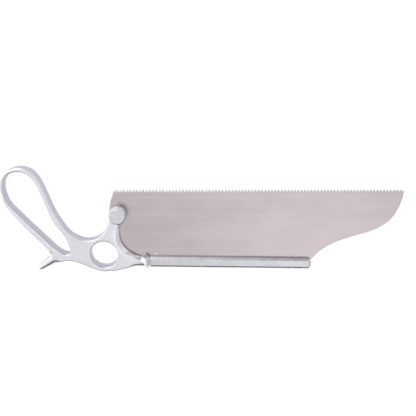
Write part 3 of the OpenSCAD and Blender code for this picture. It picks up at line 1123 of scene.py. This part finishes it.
@dataclass
class Pins(Assembly):
    """The pin in the neck and the stop pin across the groove."""

    tang_at: tuple = (-4.99, 0.06)
    tang_r: float = 1.2
    stop_r: float = 0.8
    bar_half: float = 4.4
    proud: float = 0.03

    def build(self) -> None:
        """Builds both pins and hangs them on the casting's body."""
        for name, node, at, r, half in (
            ("tang_pin_ends", "tang_pin", self.tang_at, self.tang_r, NECK_R - self.proud),
            ("stop_pin_ends", "blade_stop_pin", STOP_AT, self.stop_r, self.bar_half),
        ):
            sag = r - math.sqrt(r * r - 0.25 * r * r)
            top = half + self.proud
            rows = [[0, top], [0.5 * r, top - 0.1 * sag], [0.8 * r, half], [r, half - 0.16]]
            up = [[q, MID_Z + z] for q, z in rows]
            down = [[q, MID_Z - z] for q, z in reversed(rows)]
            pin = self.bench.turned(name, at, up + down, 40)
            self.seat(pin, Body.CASTING, Slot.SPINE, [node])


@dataclass
class SawBlade(Assembly):
    """The toothed sheet with its swept toe, its hook and its slot for the stop pin."""

    cut_len: float = 237.0
    rise: float = 62.9
    thick: float = 1.0
    teeth: int = 88
    tooth_depth: float = 2.4
    heel_back: float = 25.6
    tuck_r: float = 24.0
    ear: float = 33.4
    neck_cut: float = 3.3
    tongue_x: float = 2.6
    toe_corner: float = 139.9
    toe_chamfer: float = 3.4
    floor: float = 0.2
    hook_w: float = 5.3
    pin_w: float = 1.8
    slit_w: float = 0.4
    relief_rise: float = 4.3
    relief_d: float = 1.4
    draw_angle: float = 72.0
    tooth_set: float = 0.13
    filed: float = 0.16
    file_reach: float = 0.45
    edge_r: float = 0.1
    tip_half: float = 0.05
    gullet: tuple = ((0.42, 0.88), (0.5, 0.96), (0.58, 0.88))
    bent_from: float = 0.94
    filed_to: float = 0.6
    cutter_t: float = 4.0

    def toe(self) -> np.ndarray:
        """Returns the swept toe, from the tip of the bar up to the last tooth."""
        shares = [
            [0.000, 0.046], [0.067, 0.130], [0.168, 0.213], [0.309, 0.2925], [0.476, 0.359], [0.644, 0.418],
            [0.777, 0.493], [0.881, 0.591], [0.954, 0.739], [0.993, 0.890], [1.000, 1.000],
        ]
        span = self.cut_len - self.heel_back - self.toe_corner
        return smooth_curve([[self.toe_corner + u * span, v * self.rise] for u, v in shares], False, 8)

    def heel(self) -> np.ndarray:
        """Returns the curved heel, from the first tooth down to the ear in the fork."""
        high = SCREW_AT[1]
        shares = [
            [0.0, self.rise / high], [0.033, 1.345], [0.066, 1.263],
            [0.090, 1.163], [0.103, 1.010], [0.103, 0.890],
        ]
        return smooth_curve([[-self.heel_back - u * high, v * high] for u, v in shares], False, 6)

    def tooth_line(self) -> np.ndarray:
        """Returns the teeth from the toe back to the heel, with narrow tips and rounded gullets."""
        pitch = self.cut_len / self.teeth
        line = []
        for i in range(self.teeth, 0, -1):
            tip = i * pitch - self.heel_back
            line.append([tip - self.tip_half, self.rise])
            line += [[tip - u * pitch, self.rise - v * self.tooth_depth] for u, v in self.gullet]
            line.append([tip - pitch + self.tip_half, self.rise])
        return divide(np.array(line), 0.62)

    def outline(self) -> np.ndarray:
        """Returns the sheet's edge."""
        slope = math.tan(math.radians(SLOPE))
        back = [[x, self.floor - x * slope] for x in (self.tongue_x, self.toe_corner - self.toe_chamfer)]
        ear = [-self.heel_back - 0.09 * SCREW_AT[1], self.ear]
        arc = left_arc(CHEEK_AT, self.tuck_r, self.ear, self.neck_cut)
        tongue = [self.tongue_x, self.neck_cut]
        lower = divide(np.array(back), 3.0)
        return np.vstack([lower, self.toe()[:-1], self.tooth_line(), self.heel()[1:], ear, arc, tongue])

    def filing(self, p: np.ndarray, gap: np.ndarray) -> np.ndarray:
        """Returns how deep the file took each point of the teeth."""
        low, high = (self.rise - share * self.tooth_depth for share in (self.bent_from, self.filed_to))
        return 2 * self.filed * (1 - ramp(0.0, self.file_reach, gap)) * ramp(low, high, p[:, 1])

    def parity(self, p: np.ndarray) -> np.ndarray:
        """Returns 1 and -1 for every second tooth."""
        index = np.floor((p[:, 0] + self.heel_back) / (self.cut_len / self.teeth) + 0.5)
        return np.where(index % 2 == 0, 1.0, -1.0)

    def half_thickness(self, p: np.ndarray, gap: np.ndarray, rim: np.ndarray) -> np.ndarray:
        """Returns half the sheet's thickness: a broken edge, and teeth filed from one side."""
        return self.thick / 2 - rounded(gap, self.edge_r) - self.filing(p, gap) / 2

    def lean(self, p: np.ndarray, gap: np.ndarray, rim: np.ndarray) -> np.ndarray:
        """Returns how far each point stands off the sheet's middle: the set of the teeth."""
        bent = self.tooth_set * ramp(self.rise - self.bent_from * self.tooth_depth, self.rise, p[:, 1])
        return self.parity(p) * (bent - self.filing(p, gap) / 2)

    def slot(self, name: str, centre: Row, w: float, run: float) -> Piece:
        """Makes the cutter of a slot that opens against the draw, round at its head.

        Args:
            name: the cutter's name.
            centre: centre of the round head.
            w: the slot's width.
            run: its length from the centre to its open end.

        Returns:
            The linked cutter.
        """
        d = heading(self.draw_angle)
        foot = np.array(centre) - run * d
        head = arc_points(centre, w / 2, self.draw_angle - 90, self.draw_angle + 90, 20)
        loop = [foot - w / 2 * across(d), foot + w / 2 * across(d), *head]
        return self.bench.prism(name, np.array(loop), self.cutter_t)

    def build(self) -> None:
        """Builds the sheet, cuts its slots and hangs it on the blade's body."""
        outline = self.outline()
        root = self.rise - self.tooth_depth
        rows = ((0.25, 0.7), (0.8, 0.9), (1.8, 1.6), (3.4, 3.0))
        span = (-self.heel_back, self.cut_len - self.heel_back)
        plate = Plate(
            outline=outline,
            holes=[],
            rims=[(outline, True)],
            height=self.half_thickness,
            rings=[0.03, 0.1, 0.45],
            grid=5.0,
            extra=np.array([[x, root - drop] for drop, step in rows for x in np.arange(*span, step)]),
            shift=self.lean,
        )
        sheet = plate.build(self.bench, "saw_blade")
        relief = np.array(STOP_AT) + self.relief_rise * heading(self.draw_angle)
        hole = np.array(arc_points(relief, self.relief_d / 2, 0, 360, 32)[:-1])
        cuts = [
            self.slot("hook_cut", SCREW_AT, self.hook_w, 40.0),
            self.slot("pin_cut", STOP_AT, self.pin_w, 9.0),
            self.slot("slit_cut", relief, self.slit_w, self.relief_rise),
            self.bench.prism("relief_cut", hole, self.cutter_t),
        ]
        cut_with(sheet, cuts)
        self.seat(sheet, Body.BLADE, Slot.BLADE, ["blade"], 12.0)


@dataclass
class ThumbScrew(Assembly):
    """The knurled knob with its washer and its threaded stud."""

    seat_z: float = 10.0
    washer_r: float = 7.2
    washer_t: float = 1.0
    washer_edge: float = 0.25
    knob_r: float = 7.0
    knob_h: float = 4.5
    knurls: int = 24
    knurl_depth: float = 0.3
    foot_h: float = 0.5
    undercut: float = 1.0
    disc_side: float = 0.7
    stud_r: float = 2.5
    stud_low: float = 0.4
    stud_up: float = 3.0
    stud_tip: float = 0.8
    pitch: float = 0.8
    thread_deep: float = 0.45
    thread_half: float = 0.44
    thread_root: float = 0.88

    def knob(self) -> Piece:
        """Returns the knob: a tapered disc with flutes, over an undercut neck and a flared foot."""
        low = self.seat_z + self.washer_t
        r, high = self.knob_r, low + self.knob_h
        neck = r - self.undercut
        foot = low + self.foot_h
        waist = foot + 1.2 * self.undercut
        under, side = waist + 0.4, waist + 0.8

        def grooved(q: float, a: float, z: float) -> float:
            """Returns the radius with its flutes taken off the disc."""
            flute = r - self.knurl_depth * (0.5 - 0.5 * math.cos(self.knurls * a)) ** 1.5
            return min(q, flute) if z > under + 0.05 else q

        rows = [[0, low], [r - 0.25, low], [r - 0.07, low + 0.07], [r, low + 0.25], [r, foot - 0.1]]
        rows += [[r - 0.04, foot + 0.02], [r - 0.14, foot + 0.16], [neck + 0.16, waist - 0.18]]
        rows += [[neck + 0.03, waist], [neck, waist + 0.15], [neck, under - 0.08], [neck + 0.1, under]]
        rows += [[r - 0.14, side - 0.1], [r - 0.03, side]]
        rows += [[r, side + self.disc_side * k / 3] for k in range(4)]
        shoulder, top = side + self.disc_side, high - 0.06
        taper, fall = self.undercut - 0.16, top - shoulder - 0.1
        rows += [[r - 0.02 - taper * k / 8, shoulder + 0.04 + fall * k / 8] for k in range(9)]
        rows += [[neck + 0.05, top + 0.02], [neck - 0.08, high - 0.01], [neck - 0.3, high]]
        rows += [[r * 0.5, high], [0.4, high], [0, high]]
        return self.bench.turned("knurled_knob", SCREW_AT, rows, self.knurls * 16, grooved)

    def washer(self) -> Piece:
        """Returns the washer with its broken edges."""
        low, high, r, c = self.seat_z, self.seat_z + self.washer_t, self.washer_r, self.washer_edge
        bore = self.stud_r + 0.1
        rows = [[bore, high], [bore, low], [r - c, low]]
        turns = np.radians((0, 30, 60, 90))
        rows += [[r - c * (1 - math.sin(a)), low + c * (1 - math.cos(a))] for a in turns[1:]]
        rows += [[r - c * (1 - math.cos(a)), high - c * (1 - math.sin(a))] for a in turns]
        return self.bench.turned("seat_washer", SCREW_AT, rows, 128)

    def stud(self) -> Piece:
        """Returns the stud with its right-hand thread."""
        top = self.seat_z + self.washer_t + self.stud_up

        def threaded(q: float, a: float, z: float) -> float:
            """Returns the radius on the flank of the thread."""
            turn = (z / self.pitch - a / (2 * math.pi)) % 1.0
            cut = min(max(1 - abs(turn - 0.5) / self.thread_half, 0), self.thread_root)
            return min(q, self.stud_r - self.thread_deep * cut)

        start = self.stud_r - self.stud_tip
        rows = [[0, self.stud_low], [start, self.stud_low]]
        count = int((top - self.stud_low) / 0.1)
        for k in range(1, count + 1):
            z = self.stud_low + (top - self.stud_low) * k / count
            rows.append([min(self.stud_r, start + (z - self.stud_low)), z])
        rows.append([0, top])
        return self.bench.turned("thread_stud", SCREW_AT, rows, 56, threaded)

    def build(self) -> None:
        """Builds the three pieces and hangs them on their bodies."""
        self.seat(self.knob(), Body.SCREW, Slot.SCREW, ["thumb_knob"])
        self.seat(self.washer(), Body.WASHER, Slot.SCREW, ["thumb_washer"])
        self.seat(self.stud(), Body.SCREW, Slot.SCREW, ["thumb_stud"], 45.0)


@dataclass
class Studio:
    """A pale floor, soft light from a clouded dome and a camera over the teeth."""

    bench: Bench
    tilt: float = 17.6
    away: float = 0.471
    lens: float = 50.0
    aim: tuple = (51.5, 48.38, 10.0)
    floor_glow: float = 0.80
    floor_tone: float = 0.38
    floor_half: float = 8.0
    floor_drop: float = 0.0001
    bank_gain: float = 0.95
    end_gain: float = 0.7
    gap_dark: float = 0.66
    back_dark: float = 0.90

    def camera(self) -> None:
        """Makes the camera, upright over the saw with the teeth at the top."""
        a = math.radians(self.tilt)
        data = bpy.data.cameras.new("camera")
        data.lens, data.sensor_width = self.lens, 36.0
        data.clip_start, data.clip_end = 0.01, 50.0
        cam = linked("camera", data)
        back = Vector((0.0, math.sin(a), math.cos(a)))
        up = Vector((0.0, math.cos(a), -math.sin(a)))
        turn = Matrix(((1.0, 0.0, 0.0), tuple(up), tuple(back))).transposed()
        cam.matrix_world = Matrix.Translation(self.bench.place(self.aim) + self.away * back) @ turn.to_4x4()
        bpy.context.scene.camera = cam

    def floor(self) -> None:
        """Makes the floor, which is white and keeps the saw's shadow."""
        data = bpy.data.meshes.new("floor")
        s = self.floor_half
        data.from_pydata([(-s, -s, 0), (s, -s, 0), (s, s, 0), (-s, s, 0)], [], [(0, 1, 2, 3)])
        obj = linked("floor", data)
        obj.location.z = -self.floor_drop
        material = bpy.data.materials.new("pale_floor")
        paint = Paint(material)
        white, tone = (1.0, 1.0, 1.0, 1.0), (self.floor_tone, self.floor_tone, self.floor_tone, 1.0)
        glow = paint.add("ShaderNodeEmission", {}, {"Color": white, "Strength": self.floor_glow})
        matt = paint.add("ShaderNodeBsdfDiffuse", {}, {"Color": tone})
        both = paint.add("ShaderNodeAddShader", {}, {0: glow, 1: matt})
        paint.add("ShaderNodeOutputMaterial", {}, {"Surface": both})
        data.materials.append(material)

    def dome(self) -> None:
        """Makes the light: a bright bank beyond the teeth, a soft ceiling and a dark side behind."""
        world = bpy.data.worlds.new("dome")
        bpy.context.scene.world = world
        paint = Paint(world)
        way = paint.add("ShaderNodeTexCoord", {}, {}, "Generated")
        x, y, z = paint.parts(way)
        crown = x.within((0.08, 0.17), (0.20, 0.25))
        ceiling = x.bend(-0.20, 0.20, 0.87, 1.13) + crown * 0.13 - x.bend(0.23, 0.28, 0.0, 0.07)
        nearer = y.bend(-0.345, -0.285, 1.0, 0.92)
        bank = z.within((0.04, 0.22), (0.90, 0.97)) * y.bend(-0.32, 0.0)
        bank = bank * x.within((-0.75, -0.50), (-0.20, -0.10))
        gap = x.within((-0.04, 0.14), (0.26, 0.42)) * y.bend(0.20, 0.38)
        back = y.bend(-0.72, -0.54, 1.0, 0.0)
        end = x.bend(-0.92, -0.74, 1.0, 0.0) * z.bend(0.02, 0.12)
        aside = x.bend(0.42, 0.62, 1.0, 0.55)
        lift = (ceiling * nearer + bank * self.bank_gain + end * self.end_gain) * aside
        shaped = lift * (1.0 - gap * self.gap_dark) * (1.0 - back * self.back_dark)
        haze = z.bend(0.08, 0.14, 1.0, 0.0)
        level = shaped + (1.0 - shaped) * haze
        light = paint.add("ShaderNodeBackground", {}, {"Color": (0.985, 0.985, 1.0, 1.0), "Strength": level})
        paint.add("ShaderNodeOutputWorld", {}, {"Surface": light})

    def build(self) -> None:
        """Sets up camera, floor and light."""
        self.camera()
        self.floor()
        self.dome()
        bpy.context.scene.view_settings.view_transform = "Standard"


def main() -> None:
    """Builds the studio and the saw."""
    logging.basicConfig(level=logging.INFO, format="%(message)s")
    bench = Bench.from_stud()
    Studio(bench).build()
    axis = bench.place((*SCREW_AT, 0.0))
    satin, bar, sheet = SatinCasting().made(), DrawnBar().made(), BrushedSheet().made()
    lathe = TurnedSteel(axis=(axis.x, axis.y)).made()
    GripCasting(bench, satin).build()
    SpineBar(bench, bar).build()
    Pins(bench, bar).build()
    SawBlade(bench, sheet).build()
    ThumbScrew(bench, lathe).build()


if __name__ == "__main__":
    main()
